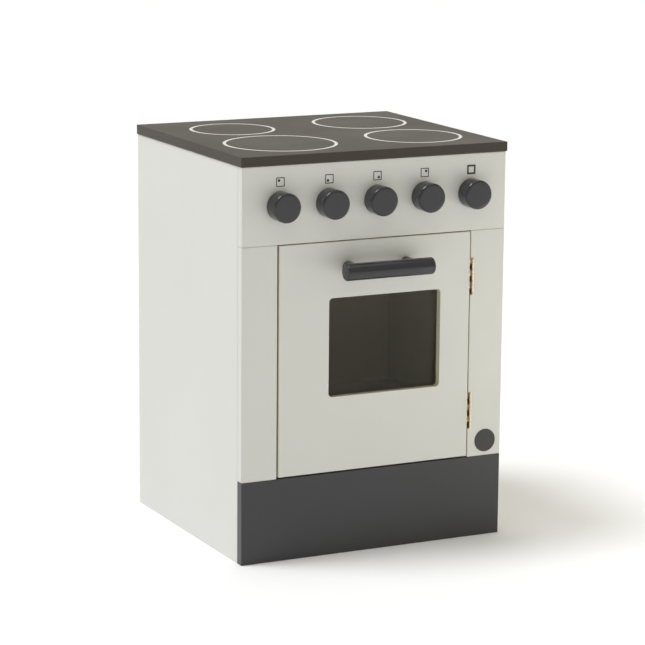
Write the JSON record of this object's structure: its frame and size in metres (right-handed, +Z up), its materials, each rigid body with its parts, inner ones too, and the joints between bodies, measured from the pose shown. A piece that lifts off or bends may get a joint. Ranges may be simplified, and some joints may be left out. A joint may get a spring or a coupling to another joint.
{
  "type": "toy kitchen",
  "caption": "Wooden play stove with a side-hinged oven door, smoked window, bar handle, turning knobs and printed hob rings.",
  "frame": {"origin": "on the floor, under the middle of the whole object with its door shut, so the door handle counts in the depth", "axes": "+Z up, +Y to the back (the door, knobs and handle face -Y), +X to the right seen from the front, where the door's hinges are"},
  "size_m": [0.361, 0.365, 0.5],
  "materials": {
    "white_board": "satin paint",
    "worktop_laminate": "satin paint",
    "dark_board": "satin paint",
    "dark_wood": "satin paint",
    "beech": "raw",
    "zinc": "satin",
    "pale_print": "matte",
    "dark_print": "matte",
    "nylon": "matte",
    "smoked_acrylic": "gloss",
    "hinge_brass": "satin",
    "magnet": "matte"
  },
  "bodies": {
    "cabinet": {"worktop": "worktop_laminate", "left_side": "white_board", "right_side": "white_board", "back_panel": "white_board", "oven_floor": "white_board", "control_panel": "white_board", "left_stile": "white_board", "right_stile": "white_board", "plinth": "dark_board", "wood_dowels": "beech", "cam_bolts": "zinc", "cam_locks": "zinc", "hob_rings": "pale_print", "knob_icons": "dark_print", "badge": "dark_print", "knob_bushes": "nylon", "knob_washers": "zinc", "upper_hinge_frame_leaf": "hinge_brass", "lower_hinge_frame_leaf": "hinge_brass", "upper_hinge_pin": "hinge_brass", "lower_hinge_pin": "hinge_brass", "hinge_frame_screws": "hinge_brass", "catch_housing": "nylon", "catch_magnet": "magnet", "catch_screws": "zinc"},
    "door": {"oven_door": "white_board", "window_pane": "smoked_acrylic", "pane_screws": "zinc", "handle_bar": "dark_wood", "handle_posts": "dark_wood", "handle_screws": "zinc", "upper_hinge_door_leaf": "hinge_brass", "lower_hinge_door_leaf": "hinge_brass", "hinge_door_screws": "hinge_brass", "strike_plate": "zinc", "strike_screw": "zinc"},
    "knob_1_turning": {"knob_1": "dark_wood", "knob_screw_1": "zinc"},
    "knob_2_turning": {"knob_2": "dark_wood", "knob_screw_2": "zinc"},
    "knob_3_turning": {"knob_3": "dark_wood", "knob_screw_3": "zinc"},
    "knob_4_turning": {"knob_4": "dark_wood", "knob_screw_4": "zinc"},
    "knob_5_turning": {"knob_5": "dark_wood", "knob_screw_5": "zinc"}
  },
  "joints": [
    {"name": "door_hinge", "type": "hinge", "parent": "cabinet", "child": "door", "pos_m": [0.1345, -0.1414, 0.2488], "axis": [0, 0, 1], "range_deg": [0, 180]},
    {"name": "knob_1_turn", "type": "hinge", "parent": "cabinet", "child": "knob_1_turning", "pos_m": [-0.1288, -0.1505, 0.4392], "axis": [0, -1, 0], "continuous": true},
    {"name": "knob_2_turn", "type": "hinge", "parent": "cabinet", "child": "knob_2_turning", "pos_m": [-0.064, -0.1505, 0.4392], "axis": [0, -1, 0], "continuous": true},
    {"name": "knob_3_turn", "type": "hinge", "parent": "cabinet", "child": "knob_3_turning", "pos_m": [0.0008, -0.1505, 0.4392], "axis": [0, -1, 0], "continuous": true},
    {"name": "knob_4_turn", "type": "hinge", "parent": "cabinet", "child": "knob_4_turning", "pos_m": [0.0656, -0.1505, 0.4392], "axis": [0, -1, 0], "continuous": true},
    {"name": "knob_5_turn", "type": "hinge", "parent": "cabinet", "child": "knob_5_turning", "pos_m": [0.1304, -0.1505, 0.4392], "axis": [0, -1, 0], "continuous": true}
  ]
}
